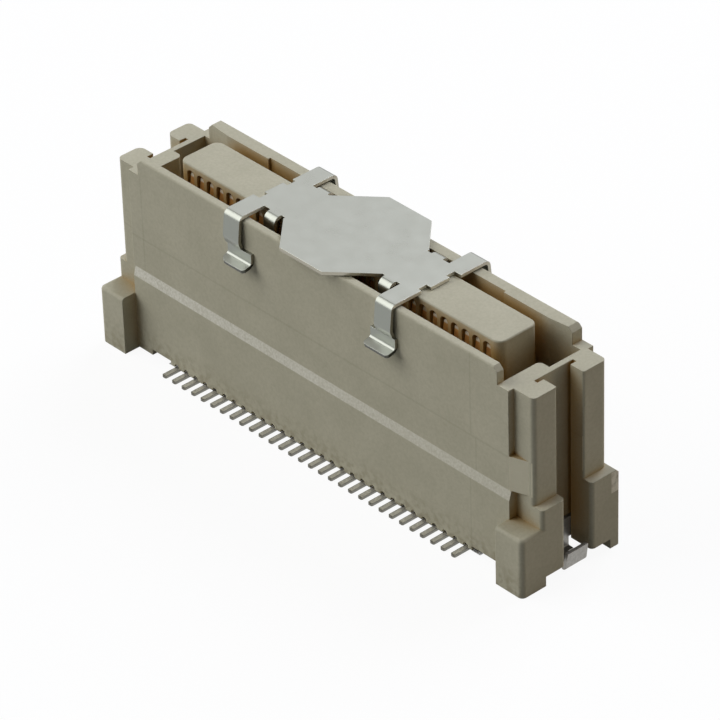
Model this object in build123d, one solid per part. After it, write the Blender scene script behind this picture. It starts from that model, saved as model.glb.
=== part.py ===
from build123d import *
import os

# A surface-mount board-to-board receptacle with two rows of contacts and a pick-up cover.
# Sizes are in millimetres. X runs along the rows, Y from the front to the back, Z up from the
# board. The origin lies on the board below the middle of the centre island.

# Contact rows
pitch = 0.80
contacts_per_row = 30
contact_sheet = 0.15
contact_width = 0.33
contact_bend = 0.22
contact_back_gap = 0.02
tail_reach = 4.08
tail_corner = 0.10
spring_start = 7.20
crest_drop = 1.50
crest_bulge = 0.05
tip_drop = 0.28
tip_setback = 0.22
spring_bend = 2.0
crest_bend = 0.45
barb_low = 1.40
barb_height = 0.90

# Centre island, with one slot for each contact
island_width = 2.79
island_end_margin = 0.94
island_top = 12.60
island_corner = 0.50
island_edge = 0.10
slot_width = 0.56
slot_depth = 0.445
slot_crown = 12.28
slot_mouth = 0.05

# Long walls and the gaps that the mating plug enters
wall_top = 12.55
low_drop = 1.01
body_width = 5.95
front_wall = 0.465
back_wall = 0.715
back_wall_step = 0.15
step_half_length = 9.20
end_gap = 1.46
lead_in_length = 1.40
top_chamfer = 0.28
top_round = 0.12

# End walls, each with a keying pocket in its back half
pocket_depth = 0.70
pocket_front = 0.03
pocket_corner = 0.30
pocket_end_wall = 0.35
wall_setback = 0.24
back_end_extra = 0.10
left_end_extra = 0.20

# Post pairs and the channel between them
post_width = 5.20
post_depth = 1.21
post_corner = 0.28
left_post_corner = 0.32
left_post_inner_corner = 0.42
left_post_extra = 0.12
post_inner_corner = 0.12
channel_width = 1.90
keeper_slot_width = 2.76
keeper_slot_depth = 0.25
fill_length = 1.05
fill_top = 7.50

# Base, its ledge and the skirts along the tails
floor_height = 4.80
underside = 0.44
base_width = 6.26
ledge_edge = 4.82
ledge_top = 5.36
ledge_extra = 0.15
skirt_wall = 0.50
skirt_margin = 0.48
skirt_gap = 0.04
notch_width = 0.38
notch_crown = 0.42
rib_length = 1.24
rib_bottom = 0.09

# Lower blocks and feet
block_depth = 1.80
block_top = 4.84
block_bottom = 0.60
block_corner = 0.25
back_corner = 0.12
back_top_chamfer = 0.24
foot_top = 3.65
foot_setback = 0.17
foot_corner = 0.30
foot_edge = 0.20
front_foot_inner = 2.36
front_foot_reach = 4.08
back_foot_inner = 2.30
back_foot_reach = 2.97

# Pick-up cover, the same after half a turn about its middle
cover_sheet = 0.20
cover_seat_gap = 0.02
cover_shift = 0.14
panel_half_length = 3.83
panel_side_near = 1.70
panel_side_far = 1.55
panel_half_width = 3.72
panel_edge_near = 1.88
panel_edge_far = 1.42
bar_half_width = 1.57
bar_step_half = 1.24
short_notch_outer = 6.15
long_notch_outer = 6.26
tongue_outer = 6.50
tongue_half_width = 0.66
long_leg_centre = 6.13
short_leg_centre = 5.77
leg_width = 1.24
leg_bend = 0.30
leg_top_gap = 0.03
leg_bulge = 0.16
leg_bulge_height = 11.25
leg_grip_height = 10.80
leg_grip_gap = 0.01
lip_bend_height = 10.12
lip_bottom = 9.96
lip_reach = 0.69
lip_width = 1.88
lip_bend = 0.28
lip_corner = 0.22
lip_outer_corner = 0.45
long_lip_shift = 0.47
short_lip_shift = 0.15
grip_bend = 0.60
tab_width = 0.84
outer_tab_centre = 4.58
inner_tab_centre = 4.40
tab_gap = 0.03
tab_bend = 0.36
tab_bottom = 10.90

# Hold-downs
keeper_sheet = 0.20
keeper_blade_width = 2.66
keeper_blade_top = 2.00
keeper_shoulder = 0.75
keeper_stem_width = 1.62
keeper_neck_width = 0.84
keeper_neck_start = 0.45
keeper_neck_end = 0.35
keeper_strap_width = 1.48
keeper_reach = 1.53
keeper_strap_top = 1.15
keeper_lean = 0.15
keeper_bend = 0.18

# How far a cut runs past the face that it opens
cut_over = 1.00

# Places worked out from the sizes above
row_half = (contacts_per_row - 1) * pitch / 2
island_half_width = island_width / 2
island_half_length = row_half + island_end_margin
slot_back = island_half_width - slot_depth
blade_y = slot_back + contact_back_gap + contact_sheet / 2
body_half = body_width / 2
base_half = base_width / 2
low_top = wall_top - low_drop
cavity_front = body_half - front_wall
cavity_back = body_half - back_wall
cavity_half_length = island_half_length + end_gap
pocket_end = cavity_half_length + pocket_depth
end_face = pocket_end + pocket_end_wall
wall_end = end_face - wall_setback
ledge_end = wall_end + ledge_extra
foot_start = end_face - foot_setback
post_half = post_width / 2
post_outer = end_face + post_depth
block_outer = end_face + block_depth
channel_half = channel_width / 2
skirt_bottom = contact_sheet + skirt_gap
cover_bottom = island_top + cover_seat_gap
contact_places = [(place * pitch) - row_half for place in range(contacts_per_row)]


def block(x, y, z):
    """A square block between two bounds along each axis."""
    size = (x[1] - x[0], y[1] - y[0], z[1] - z[0])
    middle = ((x[0] + x[1]) / 2, (y[0] + y[1]) / 2, (z[0] + z[1]) / 2)
    return Pos(*middle) * Box(*size)


def at_both_ends(shape):
    """The shape at the right end with its mirror image at the left end."""
    return shape + mirror(shape, about=Plane.YZ)


def on_both_sides(shape):
    """The shape at the back with its mirror image at the front."""
    return shape + mirror(shape, about=Plane.XZ)


def raised(outline, bottom, top):
    """A plan outline made solid between two heights."""
    return Pos(0, 0, bottom) * extrude(make_face(outline), amount=top - bottom)


def bent_strip(points, bends, sheet, width):
    """A strip bent along its points, given as across and up, and centred along X."""
    path = FilletPolyline(*points, radius=bends)
    strip = extrude(trace(path, sheet), amount=width / 2, both=True)
    return Plane.YZ * strip


def base():
    """The base with its sloping ledge along the front and the back, from the left feet to its right end."""
    outline = Polyline(
        (-base_half, underside),
        (-base_half, ledge_edge),
        (-body_half, ledge_top),
        (body_half, ledge_top),
        (base_half, ledge_edge),
        (base_half, underside),
        close=True,
    )
    section = make_face(outline)
    length = foot_start + ledge_end
    return Pos(-foot_start, 0, 0) * (Plane.YZ * extrude(section, amount=length))


def long_wall(extra):
    """The back half of the block that the cavity is cut from, made longer by extra at each end."""
    low_end = wall_end + extra
    tall_end = cavity_half_length + extra
    low = block((-low_end - left_end_extra, low_end), (0, body_half), (floor_height, low_top))
    tall = block((-tall_end - left_end_extra, tall_end), (0, body_half), (floor_height, wall_top))
    tall = chamfer(tall.faces().sort_by(Axis.Z)[-1].edges().filter_by(Axis.Y), top_chamfer)
    outer_edge = tall.faces().sort_by(Axis.Z)[-1].edges().filter_by(Axis.X).sort_by(Axis.Y)[-1]
    return low + fillet(outer_edge, top_round)


def slanting_fill(extra):
    """The low slanting fill between the right end of the back wall and its post."""
    start = wall_end + extra
    slant = Polyline((start, body_half), (start + fill_length, post_half), (start, post_half), close=True)
    return raised(slant, ledge_top, fill_top)


def walls():
    """The two long walls as one block, with their fills. The back one is a little longer."""
    back = long_wall(back_end_extra) + slanting_fill(back_end_extra)
    front = long_wall(0) + slanting_fill(0)
    return back + mirror(front, about=Plane.XZ)


def end_core():
    """The material behind the posts."""
    return block((-end_face, end_face), (-post_half, post_half), (block_bottom, low_top))


def round_uprights(shape, outer, inner):
    """The block with the uprights of its right face rounded, each by its own radius."""
    uprights = shape.edges().filter_by(Axis.Z).group_by(Axis.X)[-1].sort_by(Axis.Y)
    shape = fillet(uprights[-1], outer)
    uprights = shape.edges().filter_by(Axis.Z).group_by(Axis.X)[-1].sort_by(Axis.Y)
    return fillet(uprights[0], inner)


def post_pair(reach, corner, inner_corner):
    """The two posts of the right end, out to the given reach, with the radii of their uprights."""
    post = block((end_face - wall_setback, reach), (channel_half, post_half), (block_bottom, low_top))
    return on_both_sides(round_uprights(post, corner, inner_corner))


def posts():
    """Two posts at each end. The left ones are a little deeper and rounder."""
    right = post_pair(post_outer, post_corner, post_inner_corner)
    left = post_pair(post_outer + left_post_extra, left_post_corner, left_post_inner_corner)
    return right + mirror(left, about=Plane.YZ)


def lower_blocks():
    """The four lower blocks. The back ones reach as far as the feet and slope at their top edge."""
    x = (end_face - wall_setback, block_outer)
    front = block(x, (channel_half, post_half), (block_bottom, block_top))
    back = block(x, (channel_half, back_foot_reach), (block_bottom, block_top))
    top_edges = back.faces().sort_by(Axis.Z)[-1].edges().filter_by(Axis.X)
    back = chamfer(top_edges.sort_by(Axis.Y)[-1], back_top_chamfer)
    back = round_uprights(back, back_corner, block_corner)
    front = round_uprights(front, block_corner, block_corner)
    return at_both_ends(back + mirror(front, about=Plane.XZ))


def feet():
    """The feet that stand on the board: long at the front, and below the lower blocks at the back."""
    x = (foot_start, block_outer)
    front = block(x, (-front_foot_reach, -front_foot_inner), (0, foot_top))
    front = fillet(front.edges().filter_by(Axis.Z).group_by(Axis.X)[-1].sort_by(Axis.Y)[0], foot_corner)
    front = fillet(front.faces().sort_by(Axis.Z)[-1].edges().filter_by(Axis.X).sort_by(Axis.Y)[0], foot_edge)
    back = block(x, (back_foot_inner, back_foot_reach), (0, block_bottom))
    back = fillet(back.edges().filter_by(Axis.Z).group_by(Axis.X)[-1].sort_by(Axis.Y)[-1], back_corner)
    return at_both_ends(front + back)


def skirts():
    """The thin strips below the base beside the tails, and the lower rib at the left."""
    inner = base_half - skirt_wall
    skirt_half = row_half + skirt_margin
    skirt = block((-skirt_half, skirt_half), (inner, base_half), (skirt_bottom, underside))
    rib = block((-foot_start, rib_length - foot_start), (inner, base_half), (rib_bottom, underside))
    return on_both_sides(skirt + rib)


def cavity():
    """The space between the walls, with the keying pockets and the step in the back wall."""
    thin_back = cavity_back - back_wall_step
    right_side = [
        (cavity_half_length, -cavity_front),
        (cavity_half_length, pocket_front),
        (pocket_end, pocket_front),
        (pocket_end, cavity_back),
        (cavity_half_length, cavity_back),
        (cavity_half_length - lead_in_length, thin_back),
        (step_half_length, thin_back),
        (step_half_length, cavity_back),
    ]
    left_side = [(-x, y) for x, y in reversed(right_side)]
    right_radii = [0, pocket_corner, 0, 0, 0, 0, 0, 0]
    outline = FilletPolyline(
        *(right_side + left_side),
        radius=right_radii + right_radii[::-1],
        close=True,
    )
    return raised(outline, floor_height, wall_top + cut_over)


def end_openings():
    """The space above each end wall, between the ends of the long walls."""
    x = (cavity_half_length, end_face)
    return at_both_ends(block(x, (-cavity_front, cavity_back), (low_top, wall_top + cut_over)))


def island():
    """The centre island that carries the contacts."""
    body = block(
        (-island_half_length, island_half_length),
        (-island_half_width, island_half_width),
        (underside, island_top),
    )
    body = fillet(body.edges().filter_by(Axis.Z), island_corner)
    return fillet(body.faces().sort_by(Axis.Z)[-1].edges(), island_edge)


def contact_slots():
    """One slot with a round crown for each contact, from the underside up the island's face."""
    half = slot_width / 2
    opening = Polyline((-half, slot_crown - half), (-half, 0), (half, 0), (half, slot_crown - half))
    crown = ThreePointArc((half, slot_crown - half), (0, slot_crown), (-half, slot_crown - half))
    face = Plane.XZ * make_face([*opening.edges(), *crown.edges()])
    slot = extrude(face, amount=slot_depth + slot_mouth, dir=(0, 1, 0))
    pair = on_both_sides(Pos(0, slot_back, 0) * slot)
    return [Pos(x, 0, 0) * pair for x in contact_places]


def tail_notches():
    """One round-topped notch in each skirt above each tail."""
    radius = notch_width / 2
    depth = skirt_wall + slot_mouth
    opening = block((-radius, radius), (base_half - depth, base_half + slot_mouth), (0, notch_crown - radius))
    crown = Rot(90, 0, 0) * Cylinder(radius, depth + slot_mouth)
    crown = Pos(0, base_half + slot_mouth - (depth + slot_mouth) / 2, notch_crown - radius) * crown
    pair = on_both_sides(opening + crown)
    return [Pos(x, 0, 0) * pair for x in contact_places]


def keeper_slots():
    """The undercut behind each channel that holds a hold-down's blade."""
    half = keeper_slot_width / 2
    x = (end_face, end_face + keeper_slot_depth)
    return at_both_ends(block(x, (-half, half), (0, low_top + cut_over)))


def housing():
    """The whole moulding."""
    outside = base() + walls() + end_core() + posts() + lower_blocks() + feet() + skirts()
    hollow = outside - cavity() - end_openings() - keeper_slots()
    return (hollow + island()) - contact_slots() - tail_notches()


def contact():
    """The front contact at X = 0: tail, bend, blade with its barbs, and the sprung tip."""
    centre = contact_sheet / 2
    crest_y = island_half_width + crest_bulge - centre
    tip_z = slot_crown - tip_drop
    points = [
        (-tail_reach, centre),
        (-blade_y, centre),
        (-blade_y, spring_start),
        (-crest_y, tip_z - crest_drop),
        (-crest_y + tip_setback, tip_z),
    ]
    strip = bent_strip(points, [contact_bend, spring_bend, crest_bend], contact_sheet, contact_width)
    strip = fillet(strip.edges().filter_by(Axis.Z).group_by(Axis.Y)[0], tail_corner)
    barbs = block(
        (-slot_width / 2, slot_width / 2),
        (-blade_y - centre, -blade_y + centre),
        (barb_low, barb_low + barb_height),
    )
    return strip + barbs


def contact_pair(x):
    """The front and the back contact at one place along the rows."""
    front = Pos(x, 0, 0) * contact()
    back = Pos(x, 0, 0) * (Rot(0, 0, 180) * contact())
    return Compound(children=[front, back])


def cover_leg(centre_x, lip_shift, left_corner):
    """One front leg of the cover: bend, long side, grip on the wall and flared lip."""
    middle = cover_bottom + cover_sheet / 2
    wall_y = body_half + cover_shift + cover_sheet / 2
    top_y = wall_y + leg_top_gap
    grip_y = wall_y + leg_grip_gap
    long_side = [
        (-bar_half_width, middle),
        (-top_y, middle),
        (-top_y - leg_bulge, leg_bulge_height),
        (-grip_y, leg_grip_height),
    ]
    lip = [
        (-grip_y, leg_grip_height),
        (-grip_y - leg_grip_gap, lip_bend_height),
        (-grip_y - lip_reach, lip_bottom),
    ]
    leg = Pos(centre_x, 0, 0) * bent_strip(long_side, [leg_bend, grip_bend], cover_sheet, leg_width)
    flare = bent_strip(lip, [lip_bend], cover_sheet, lip_width)
    corners = flare.faces().sort_by(Axis.Y)[0].edges().filter_by(Axis.X, reverse=True).sort_by(Axis.X)
    flare = fillet(corners[0], left_corner)
    corners = flare.faces().sort_by(Axis.Y)[0].edges().filter_by(Axis.X, reverse=True).sort_by(Axis.X)
    flare = fillet(corners[-1], lip_corner)
    return leg + Pos(centre_x + lip_shift, 0, 0) * flare


def cover_tab(centre_x):
    """One front locating tab, bent down between the island and the wall."""
    middle = cover_bottom + cover_sheet / 2
    reach = cavity_back - cover_shift - tab_gap - cover_sheet / 2
    points = [(-bar_half_width, middle), (-reach, middle), (-reach, tab_bottom)]
    return Pos(centre_x, 0, 0) * bent_strip(points, [tab_bend], cover_sheet, tab_width)


def cover_panel():
    """The eight-sided middle of the cover, the same after half a turn."""
    half = [
        (-panel_half_length, -panel_side_near),
        (-panel_edge_near, -panel_half_width),
        (panel_edge_far, -panel_half_width),
        (panel_half_length, -panel_side_far),
    ]
    turned = [(-x, -y) for x, y in half]
    return raised(Polyline(*half, *turned, close=True), cover_bottom, cover_bottom + cover_sheet)


def cover_bar():
    """The right bar of the cover, stepped at its end beside the tongue."""
    short_outer = short_leg_centre + leg_width / 2
    long_outer = long_leg_centre + leg_width / 2
    outline = Polyline(
        (0, -bar_half_width),
        (short_outer, -bar_half_width),
        (short_outer, -bar_step_half),
        (short_notch_outer, -bar_step_half),
        (short_notch_outer, -tongue_half_width),
        (tongue_outer, -tongue_half_width),
        (tongue_outer, tongue_half_width),
        (long_notch_outer, tongue_half_width),
        (long_notch_outer, bar_step_half),
        (long_outer, bar_step_half),
        (long_outer, bar_half_width),
        (0, bar_half_width),
        close=True,
    )
    return raised(outline, cover_bottom, cover_bottom + cover_sheet)


def pickup_cover():
    """The stamped cover: panel, two bars, four legs and four locating tabs."""
    half = cover_bar()
    half += cover_leg(short_leg_centre, -short_lip_shift, lip_corner)
    half += cover_leg(-long_leg_centre, long_lip_shift, lip_outer_corner)
    half += cover_tab(inner_tab_centre) + cover_tab(-outer_tab_centre)
    whole = cover_panel() + half + Rot(0, 0, 180) * half
    return Pos(0, cover_shift, 0) * whole


def hold_down():
    """The right hold-down: blade in its slot, foot along the board and upturned strap."""
    centre = keeper_sheet / 2
    blade_x = end_face + keeper_slot_depth / 2
    foot_x = blade_x + keeper_reach
    path = FilletPolyline(
        (blade_x, keeper_blade_top),
        (blade_x, centre),
        (foot_x - keeper_lean, centre),
        (foot_x, keeper_strap_top),
        radius=keeper_bend,
    )
    strip = Plane.XZ * extrude(trace(path, keeper_sheet), amount=keeper_blade_width / 2, both=True)

    def side_cut(width, x, z):
        return on_both_sides(block(x, (width / 2, keeper_blade_width), z))

    neck_start = blade_x + keeper_neck_start
    neck_end = foot_x - keeper_neck_end
    stem = side_cut(keeper_stem_width, (blade_x - cut_over, neck_start), (0, keeper_shoulder))
    neck = side_cut(keeper_neck_width, (neck_start, neck_end), (0, keeper_sheet))
    strap = side_cut(keeper_strap_width, (neck_end, foot_x + cut_over), (0, keeper_strap_top + cut_over))
    return strip - stem - neck - strap


os.makedirs("parts", exist_ok=True)
export_step(housing(), "parts/housing.step")
export_step(pickup_cover(), "parts/pickup_cover.step")
export_step(hold_down(), "parts/hold_down_right.step")
export_step(mirror(hold_down(), about=Plane.YZ), "parts/hold_down_left.step")
for number, place in enumerate(contact_places, start=1):
    export_step(contact_pair(place), f"parts/contact_pair_{number:02d}.step")
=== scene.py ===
from math import cos, radians, sin

import bpy
from mathutils import Matrix, Vector

# A board-to-board receptacle on a pale table. Lengths are in metres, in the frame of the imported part:
# X along the contact rows, Y from the front to the back, Z up from the board.
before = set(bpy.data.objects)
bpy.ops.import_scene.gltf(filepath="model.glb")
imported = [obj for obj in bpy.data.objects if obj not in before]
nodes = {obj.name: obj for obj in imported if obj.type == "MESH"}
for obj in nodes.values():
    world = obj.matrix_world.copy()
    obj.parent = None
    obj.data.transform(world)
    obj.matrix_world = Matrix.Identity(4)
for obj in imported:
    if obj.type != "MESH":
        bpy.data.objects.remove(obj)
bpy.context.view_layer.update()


# Housing
# One injection moulding of mineral-filled liquid crystal polymer in its natural beige. It carries all
# the other pieces. The mould was spark eroded, so the faces are matt, and the edges are barely rounded.
mm = 0.001
ledge_bottom = 4.82 * mm
ledge_top = 5.36 * mm
fill_top = 7.50 * mm
mould_edge = 0.05 * mm
cloud_size = 2.5 * mm
fleck_size = 0.16 * mm
flow_size = 0.4 * mm
speckle_size = 0.13 * mm
pale_patch_size = 0.3 * mm
grain_size = 0.10 * mm
grain_depth = 0.02 * mm
corner_depth = 2.5 * mm


def linear(code):
    """The linear colour, with alpha, of an sRGB hex value."""
    parts = [int(code[place:place + 2], 16) / 255 for place in (1, 3, 5)]
    return [part / 12.92 if part <= 0.04045 else ((part + 0.055) / 1.055) ** 2.4 for part in parts] + [1]


def add(tree, kind, inputs, **options):
    """Adds a node. Each input is a value to set or a socket to link, and the options are its own settings."""
    node = tree.nodes.new("ShaderNode" + kind)
    for name, value in options.items():
        setattr(node, name, value)
    for key, value in inputs.items():
        if isinstance(value, bpy.types.NodeSocket):
            tree.links.new(value, node.inputs[key])
        else:
            node.inputs[key].default_value = value
    return node


def start_material(name):
    """A material with an empty node tree, and that tree."""
    material = bpy.data.materials.new(name)
    material.use_nodes = True
    material.node_tree.nodes.clear()
    return material, material.node_tree


def band(tree, value, low, high):
    """A mask that is 1 where the value lies between two bounds."""
    inputs = {0: value, 1: (low + high) / 2, 2: (high - low) / 2}
    return add(tree, "Math", inputs, operation="COMPARE").outputs["Value"]


def carried(tree, value, start, stop, low, high):
    """The value carried over evenly, so that start gives low and stop gives high, and held beyond them."""
    inputs = {"Value": value, "From Min": start, "From Max": stop, "To Min": low, "To Max": high}
    return add(tree, "MapRange", inputs).outputs["Result"]


def ramp(tree, value, start, stop, share=1.0):
    """A mask that goes from 0 at start to its full share at stop."""
    return carried(tree, value, start, stop, 0.0, share)


def where_all(tree, *masks):
    """The product of masks and plain shares, so that it is 0 where any one of them is."""
    result = masks[0]
    for mask in masks[1:]:
        result = add(tree, "Math", {0: result, 1: mask}, operation="MULTIPLY").outputs["Value"]
    return result


def painted(tree, colour, mask, code):
    """The colour with another one, an sRGB hex value, over it by the mask."""
    inputs = {"Factor": mask, "A": colour, "B": linear(code)}
    return add(tree, "Mix", inputs, data_type="RGBA").outputs["Result"]


def surface_facts(tree):
    """The place on the piece, its three axes, and how far the surface faces each of them."""
    source = add(tree, "TexCoord", {})
    place = source.outputs["Object"]
    axes = add(tree, "SeparateXYZ", {"Vector": place})
    facing = add(tree, "SeparateXYZ", {"Vector": source.outputs["Normal"]})
    return place, [axes.outputs[axis] for axis in "XYZ"], [facing.outputs[axis] for axis in "XYZ"]


def noise(tree, place, size, detail=3.0):
    """Noise with features of about the given size."""
    return add(tree, "TexNoise", {"Vector": place, "Scale": 1 / size, "Detail": detail}).outputs["Fac"]


# Moulded liquid crystal polymer: matt and slightly cloudy, with painted brown shade in its corners
resin, tree = start_material("moulded_resin")
place, (x, y, z), (face_x, face_y, face_z) = surface_facts(tree)
front_face = band(tree, face_y, -1.1, -0.8)
cloud = ramp(tree, noise(tree, place, cloud_size), 0.3, 0.7)
colour = painted(tree, linear("#b4b09b"), cloud, "#bcb8a3")

# Mineral flecks, drawn about four times as coarse as they are, so that they show
fleck = ramp(tree, noise(tree, place, fleck_size, 2.0), 0.35, 0.75, 0.22)
colour = painted(tree, colour, fleck, "#8f8a70")

# The marks of flow above the tails, which fade upwards
flow = ramp(tree, noise(tree, place, flow_size), 0.43, 0.62)
flow_marks = where_all(tree, flow, front_face, ramp(tree, z, 1.9 * mm, 0.6 * mm, 0.45))
colour = painted(tree, colour, flow_marks, "#877c62")

# The parting line of the mould along the front, and the lines of its end inserts. Each has the axis
# across it with its two edges, and the axis along it with its two ends.
lines = [
    (z, 7.37 * mm, 7.50 * mm, z, 5.0 * mm, 9.0 * mm),
    (x, 11.92 * mm, 12.03 * mm, z, 7.44 * mm, 12.6 * mm),
    (x, 12.30 * mm, 12.40 * mm, z, ledge_top, 7.44 * mm),
    (x, 12.02 * mm, 12.11 * mm, z, 0.4 * mm, 4.8 * mm),
    (x, -14.10 * mm, -14.00 * mm, z, ledge_top, 11.5 * mm),
]
for across, low, high, along, start, stop in lines:
    line = where_all(tree, front_face, band(tree, across, low, high), band(tree, along, start, stop))
    colour = painted(tree, colour, where_all(tree, line, 0.2), "#8f8a74")

# The ledge where the mould's two halves met: pale speckles, partly its rough grain and partly painted light
# on its upward face, plainer towards the right end
speckle = ramp(tree, noise(tree, place, speckle_size), 0.1, 0.7, 0.7)
speckle_and_light_strength = carried(tree, x, -14.0 * mm, 13.0 * mm, 1.15, 0.7)
on_ledge = where_all(tree, band(tree, face_z, 0.1, 0.6), band(tree, z, ledge_bottom, ledge_top))
colour = painted(tree, colour, where_all(tree, speckle, on_ledge, speckle_and_light_strength), "#e6e4da")

# Painted light: the slanting fills are painted paler than the walls, so that they show as bright as the walls
# beside them
on_fill = where_all(tree, band(tree, face_x, 0.2, 0.5), band(tree, z, ledge_top, fill_top))
colour = painted(tree, colour, where_all(tree, on_fill, 0.6), "#f0ead0")

# A pale mottled patch high on the end of the right back lower block
pale_patch = ramp(tree, noise(tree, place, pale_patch_size), 0.2, 0.6)
on_block_end = where_all(
    tree,
    band(tree, x, 16.8 * mm, 16.9 * mm),
    band(tree, y, 2.38 * mm, 2.88 * mm),
    band(tree, z, 3.5 * mm, 4.8 * mm),
)
colour = painted(tree, colour, where_all(tree, pale_patch, on_block_end), "#ece8d8")

# Painted shade: deep corners are painted browner and darker, as the light there has gone from one beige wall
# to the next
open_sky = add(tree, "AmbientOcclusion", {"Distance": corner_depth}, samples=8, only_local=True)
colour = painted(tree, colour, ramp(tree, open_sky.outputs["AO"], 0.75, 0.25), "#a8864a")

# The eroded grain, drawn about five times as coarse as it is
rounded = add(tree, "Bevel", {"Radius": mould_edge}, samples=6)
bumped = add(tree, "Bump", {
    "Height": noise(tree, place, grain_size),
    "Strength": 0.25,
    "Distance": grain_depth,
    "Normal": rounded.outputs["Normal"],
})
surface = add(tree, "BsdfPrincipled", {
    "Base Color": colour, "Roughness": 0.62, "Specular IOR Level": 0.2, "Normal": bumped.outputs["Normal"],
})
add(tree, "OutputMaterial", {"Surface": surface.outputs["BSDF"]})


def finish_node(name, material):
    """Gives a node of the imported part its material."""
    slots = nodes[name].data.materials
    slots.clear()
    slots.append(material)


finish_node("housing", resin)


# Pick-up cover
# Stamped and bent from 0.2 mm stainless strip with a satin rolled face. It clips over the long walls
# with four legs, so that a nozzle can lift the part, and it comes off after soldering.
below_panel = 12.60 * mm
above_panel = 12.90 * mm
below_lips = 9.8 * mm
above_lips = 10.3 * mm
sheared_edge = 0.02 * mm
stain_size = 1.6 * mm
roll_mark_width = 0.12 * mm
roll_mark_depth = 0.01 * mm
roll_mark_stretch = (0.12, 1.0, 1.0)
sheen_size = 0.9 * mm

# Rolled stainless: a broad soft shine on the flat top, duller where the strip was bent, and with painted
# shade that darkens the lips, the upright faces and the bends
cover_steel, tree = start_material("rolled_stainless")
place, (x, y, z), (face_x, face_y, face_z) = surface_facts(tree)
stain = ramp(tree, noise(tree, place, stain_size), 0.3, 0.7, 0.3)
colour = painted(tree, linear("#acaea7"), stain, "#a4a69f")
# Painted shade: the lips, the upright faces and the bends are painted darker, for the darker surroundings
# that they mirror; the bends have a duller grain too
colour = painted(tree, colour, band(tree, z, below_lips, above_lips), "#a0a29b")
colour = painted(tree, colour, band(tree, face_z, -0.45, 0.45), "#8a8d86")
colour = painted(tree, colour, band(tree, face_z, 0.45, 0.97), "#83857e")

# The sheared edges in a grey of their own, with a painted highlight at the ends of the bars, which are made
# pale and not metallic, and painted shade on the ends of the lips, which face down
in_panel = band(tree, z, below_panel, above_panel)
faces_right = band(tree, face_x, 0.7, 1.1)
colour = painted(tree, colour, where_all(tree, in_panel, band(tree, face_z, -0.3, 0.3)), "#a29e90")
colour = painted(tree, colour, faces_right, "#a29e90")
colour = painted(tree, colour, band(tree, face_x, -1.1, -0.7), "#a29e90")
lit_bar_end = where_all(tree, in_panel, faces_right)
colour = painted(tree, colour, lit_bar_end, "#f2f0e2")
shaded_lip_end = where_all(tree, band(tree, z, below_lips, 10.2 * mm), band(tree, face_z, -0.5, 0.3))
colour = painted(tree, colour, shaded_lip_end, "#4d4e48")

# The marks of rolling run along the strip and are drawn coarser than they are
lengthwise = add(tree, "Mapping", {"Vector": place, "Scale": roll_mark_stretch}).outputs["Vector"]
rounded = add(tree, "Bevel", {"Radius": sheared_edge}, samples=6)
bumped = add(tree, "Bump", {
    "Height": noise(tree, lengthwise, roll_mark_width),
    "Strength": 0.10,
    "Distance": roll_mark_depth,
    "Normal": rounded.outputs["Normal"],
})
surface = add(tree, "BsdfPrincipled", {
    "Base Color": colour,
    "Metallic": carried(tree, lit_bar_end, 0.0, 1.0, 1.0, 0.0),
    "Roughness": carried(tree, noise(tree, place, sheen_size), 0.3, 0.7, 0.27, 0.33),
    "Normal": bumped.outputs["Normal"],
})
add(tree, "OutputMaterial", {"Surface": surface.outputs["BSDF"]})
finish_node("pickup_cover", cover_steel)


# Hold-downs
# Two bent brass strips plated with matt tin. Each is pressed into the undercut behind a channel, and
# its foot is soldered to the board, so that the part isn't torn off when the plug is pulled.
plate_grain = 0.15 * mm

# Matt tin: a grey metal with a mottled, broken shine
tin, tree = start_material("matt_tin_plate")
grain = noise(tree, surface_facts(tree)[0], plate_grain)
rounded = add(tree, "Bevel", {"Radius": sheared_edge}, samples=4)
surface = add(tree, "BsdfPrincipled", {
    "Base Color": painted(tree, linear("#96948f"), ramp(tree, grain, 0.3, 0.7, 0.6), "#83817b"),
    "Metallic": 1.0,
    "Roughness": carried(tree, grain, 0.3, 0.7, 0.38, 0.52),
    "Normal": rounded.outputs["Normal"],
})
add(tree, "OutputMaterial", {"Surface": surface.outputs["BSDF"]})
finish_node("hold_down_right", tin)
finish_node("hold_down_left", tin)


# Contacts
# Sixty bent phosphor bronze strips in two rows, pressed into the island's slots from below. Their
# springs have a gold flash, and their tails, which are soldered to the board, have matt tin.
row_pitch = 0.80 * mm
row_half = 11.60 * mm
tail_top = 0.50 * mm
tail_sheet_top = 0.16 * mm
tail_reach = 4.08 * mm
spring_mottle = 0.4 * mm
tail_mottle = 0.18 * mm

# Gold flash: brown gold in the slots, with a painted glint, almost white, on the tips, which are also made
# less metallic towards the top
contact_metal, tree = start_material("gold_flash_and_tin")
place, (x, y, z) = surface_facts(tree)[:2]
gold = ramp(tree, noise(tree, place, spring_mottle), 0.3, 0.7)
colour = painted(tree, linear("#e2b068"), gold, "#bd864c")
# Painted glint: the tips are painted almost white
colour = painted(tree, colour, ramp(tree, z, 11.80 * mm, 11.90 * mm), "#fffaea")

# Matt tin on the tails: grey and mottled, and dark along the sheared sides and tips; painted shadow darkens
# each contact where it rises into its notch
tail = band(tree, z, -0.1 * mm, tail_top)
colour = painted(tree, colour, tail, "#e0dfd7")
mottle = ramp(tree, noise(tree, place, tail_mottle), 0.35, 0.7, 0.6)
colour = painted(tree, colour, where_all(tree, tail, mottle), "#c4c2b9")
from_first = add(tree, "Math", {0: x, 1: row_half}, operation="ADD").outputs["Value"]
from_middle = add(tree, "Math", {0: from_first, 1: row_pitch / 2}, operation="PINGPONG").outputs["Value"]
side_edge = ramp(tree, from_middle, 0.10 * mm, 0.16 * mm, 0.8)
colour = painted(tree, colour, where_all(tree, tail, side_edge), "#6b6960")
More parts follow.
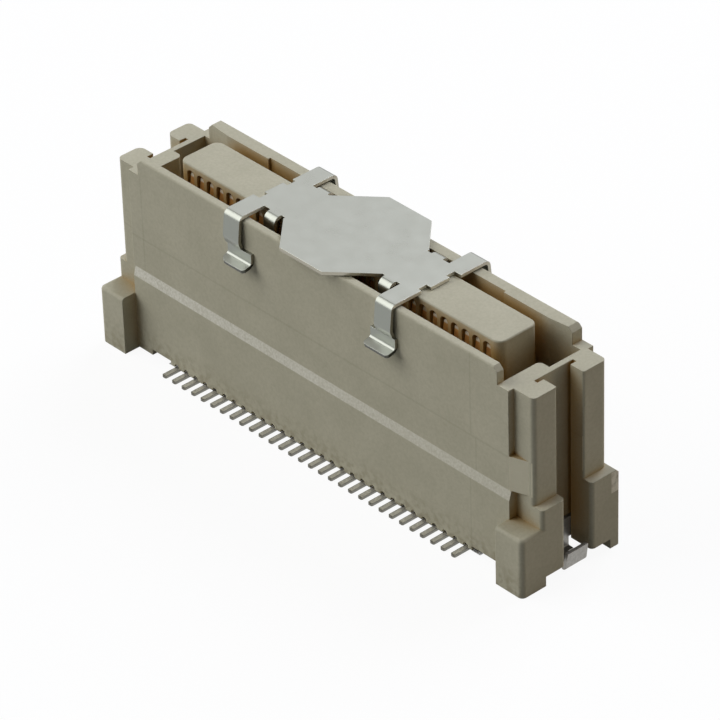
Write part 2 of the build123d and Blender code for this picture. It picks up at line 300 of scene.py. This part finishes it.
# Painted shadow: where each contact rises into its notch in the housing, it is painted dark brown
colour = painted(tree, colour, band(tree, z, tail_sheet_top, tail_top), "#3b362a")
from_row = add(tree, "Math", {0: y}, operation="ABSOLUTE").outputs["Value"]
tip_edge = ramp(tree, from_row, tail_reach - 0.10 * mm, tail_reach - 0.01 * mm)
colour = painted(tree, colour, where_all(tree, tail, tip_edge), "#6b6960")
surface = add(tree, "BsdfPrincipled", {
    "Base Color": colour,
    "Metallic": carried(tree, z, 11.3 * mm, 11.9 * mm, 0.7, 0.35),
    "Roughness": 0.36,
})
add(tree, "OutputMaterial", {"Surface": surface.outputs["BSDF"]})
for name in nodes:
    if name.startswith("contact_pair_"):
        finish_node(name, contact_metal)


# Table
# A wide pale sheet under the part. The camera and the metal see it almost white, with the part's faint
# shadow. It throws little light back up, as the part was lit from the sides and from above.
table_width = 2.0
table_gap = 0.02 * mm
shade_half_length = 12.5 * mm
shade_half_width = 2.95 * mm


def seen_ray(tree):
    """A mask that is 1 for what the camera sees, itself or by way of metal or glass."""
    ray = add(tree, "LightPath", {}).outputs
    inputs = {0: ray["Is Glossy Ray"], 1: ray["Is Transmission Ray"]}
    mirrored = add(tree, "Math", inputs, operation="MAXIMUM").outputs["Value"]
    inputs = {0: ray["Is Camera Ray"], 1: mirrored}
    return add(tree, "Math", inputs, operation="MAXIMUM").outputs["Value"]


bpy.ops.object.select_all(action="DESELECT")
bpy.ops.mesh.primitive_plane_add(size=table_width, location=(0, 0, -table_gap))
table = bpy.context.object
table.name = "table"

# Pale sheet: plain and matt, and without its glow right under the part, where it is in full shade
table_sheet, tree = start_material("pale_table")
seen = seen_ray(tree)
lit = add(tree, "BsdfDiffuse", {"Color": painted(tree, linear("#9c9c9a"), seen, "#ffffff")})
glow = add(tree, "Emission", {"Color": linear("#ffffff"), "Strength": 1.0})
x, y, z = surface_facts(tree)[1]
under_part = where_all(
    tree,
    band(tree, x, -shade_half_length, shade_half_length),
    band(tree, y, -shade_half_width, shade_half_width),
)
glow_share = where_all(tree, seen, carried(tree, under_part, 0.0, 1.0, 0.93, 0.0))
mixed = add(tree, "MixShader", {0: glow_share, 1: lit.outputs["BSDF"], 2: glow.outputs["Emission"]})
add(tree, "OutputMaterial", {"Surface": mixed.outputs["Shader"]})
table.data.materials.append(table_sheet)


# World
# A white tent around the part. The camera and the metal see it white, and it gives only as much light
# as the dark corners of the photograph allow.
world = bpy.data.worlds.new("light_tent")
bpy.context.scene.world = world
world.use_nodes = True
tree = world.node_tree
tree.nodes.clear()
room = add(tree, "Background", {"Color": linear("#ffffff"), "Strength": 0.017})
white = add(tree, "Background", {"Color": linear("#ffffff"), "Strength": 1.0})
seen = seen_ray(tree)
mixed = add(tree, "MixShader", {0: seen, 1: room.outputs["Background"], 2: white.outputs["Background"]})
add(tree, "OutputWorld", {"Surface": mixed.outputs["Shader"]})


# Lamps
# Three softboxes, as the shadows and the dark front corners of the part show: a high, cool one behind
# for the tops, one at the front left for the long side, and a weak, low and warm one at the right.
lamp_distance = 0.5
lamp_aim = Vector((0, 0, 6 * mm))


def softbox(name, azimuth, elevation, size, watts, tint="#ffffff"):
    """A square area lamp turned to the part, at an azimuth counted from the front towards the right."""
    turn = radians(azimuth)
    lift = radians(elevation)
    way = Vector((sin(turn) * cos(lift), -cos(turn) * cos(lift), sin(lift)))
    data = bpy.data.lights.new(name, "AREA")
    data.shape = "SQUARE"
    data.size = size
    data.energy = watts
    data.color = linear(tint)[:3]
    lamp = bpy.data.objects.new(name, data)
    bpy.context.scene.collection.objects.link(lamp)
    spot = Matrix.Translation(way * lamp_distance + lamp_aim)
    lamp.matrix_world = spot @ (-way).to_track_quat("-Z", "Y").to_matrix().to_4x4()


softbox("lamp_back", 187, 45, 0.3, 1.88, "#eef2ff")
softbox("lamp_front_left", -48, 34, 0.5, 2.32)
softbox("lamp_right", 137, 10, 0.3, 0.56, "#ffe9cc")


# Camera
# A long lens at the angle of the photograph, above the right front corner. Its spot, its slight roll
# and its lens were fitted to the contact tails and the corners of the part.
azimuth = radians(48.66)
elevation = radians(34.22)
roll = radians(-1.86)
distance = 265.3 * mm
aim_rise = 4.013 * mm
aim_side = -0.019 * mm
back = Vector((sin(azimuth) * cos(elevation), -cos(azimuth) * cos(elevation), sin(elevation)))
level = Vector((cos(azimuth), sin(azimuth), 0))
upright = back.cross(level)
side = cos(roll) * level + sin(roll) * upright
rise = cos(roll) * upright - sin(roll) * level
spot = back * distance + rise * aim_rise + side * aim_side
data = bpy.data.cameras.new("camera")
data.sensor_width = 36.0
data.lens = 245.1
data.clip_start = 0.01
data.clip_end = 10.0
camera = bpy.data.objects.new("camera", data)
bpy.context.scene.collection.objects.link(camera)
camera.matrix_world = Matrix.Translation(spot) @ Matrix((side, rise, back)).transposed().to_4x4()
bpy.context.scene.camera = camera
bpy.context.scene.view_settings.view_transform = "Standard"
